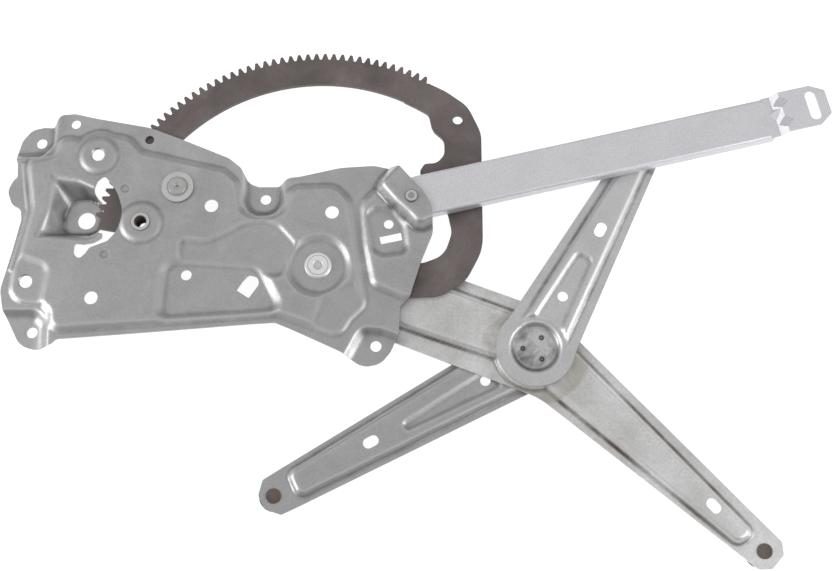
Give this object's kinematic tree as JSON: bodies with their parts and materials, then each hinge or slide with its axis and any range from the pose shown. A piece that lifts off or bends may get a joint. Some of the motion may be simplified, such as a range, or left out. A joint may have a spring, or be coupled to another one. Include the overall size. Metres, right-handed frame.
{
  "type": "window regulator",
  "caption": "Cross-arm window regulator for a car door: stamped plate, toothed sector, lift arm, crossed equalizer arm with rollers and a slotted guide rail.",
  "frame": {"origin": "axis of the pinion bearing hole at the front face of the bracket's floor", "axes": "+X along the plate towards the guide rail, +Y up in the door, +Z towards the trim side (front of the plate)"},
  "size_m": [0.5781, 0.3666, 0.0433],
  "materials": {
    "zinc_plate": "satin",
    "zinc_rail": "satin",
    "dark_steel": "satin",
    "turned_steel": "satin",
    "plastic": "matte",
    "white_plastic": "matte"
  },
  "bodies": {
    "base": {"base_plate": "zinc_plate", "motor_screw_bush": "turned_steel", "stop_washer": "turned_steel", "stop_buffer": "plastic", "stop_rivet": "turned_steel", "main_pivot_rivet": "turned_steel", "pivot_washer": "white_plastic", "pivot_back_washer": "turned_steel", "rail_washer": "turned_steel", "rail_rivet": "turned_steel"},
    "lift_arm": {"sector_gear": "dark_steel", "sector_rivets": "turned_steel", "main_arm": "zinc_plate", "cross_pivot_bush": "plastic", "main_roller_stud": "turned_steel"},
    "equalizer": {"upper_arm": "zinc_plate", "lower_arm": "zinc_plate", "upper_stud": "turned_steel", "lower_roller_stud": "turned_steel"},
    "rail": {"guide_rail": "zinc_rail"},
    "slider": {"upper_roller_pin": "turned_steel"},
    "top_roller": {"upper_roller": "plastic"},
    "main_end_roller": {"main_roller": "plastic"},
    "lower_end_roller": {"lower_roller": "plastic"}
  },
  "joints": [
    {"name": "sector_swing", "type": "hinge", "parent": "base", "child": "lift_arm", "pos_m": [0.16584, -0.03737, 0.0075], "axis": [0, 0, 1], "range_deg": [0, 98]},
    {"name": "equalizer_swing", "type": "hinge", "parent": "lift_arm", "child": "equalizer", "pos_m": [0.31499, -0.09418, 0], "axis": [0, 0, 1], "range_deg": [-190, 0]},
    {"name": "rail_tilt", "type": "hinge", "parent": "base", "child": "rail", "pos_m": [0.2303, 0.0096, 0.02], "axis": [0, 0, 1], "range_deg": [-1.5, 1.5]},
    {"name": "slider_travel", "type": "slide", "parent": "rail", "child": "slider", "axis": [0.974, 0.2267, 0], "range_m": [-0.0575, 0]},
    {"name": "top_roller_spin", "type": "hinge", "parent": "slider", "child": "top_roller", "pos_m": [0.39394, 0.04768, 0.014], "axis": [0, 0, 1], "continuous": true},
    {"name": "main_roller_spin", "type": "hinge", "parent": "lift_arm", "child": "main_end_roller", "pos_m": [0.46241, -0.23022, -0.011], "axis": [0, 0, 1], "continuous": true},
    {"name": "lower_roller_spin", "type": "hinge", "parent": "equalizer", "child": "lower_end_roller", "pos_m": [0.1377, -0.19326, -0.011], "axis": [0, 0, 1], "continuous": true}
  ],
  "couplings": [
    {"joint": "equalizer_swing", "follows": "sector_swing", "ratio": -1.9347},
    {"joint": "slider_travel", "follows": "sector_swing", "m_per_rad": -0.031818}
  ]
}
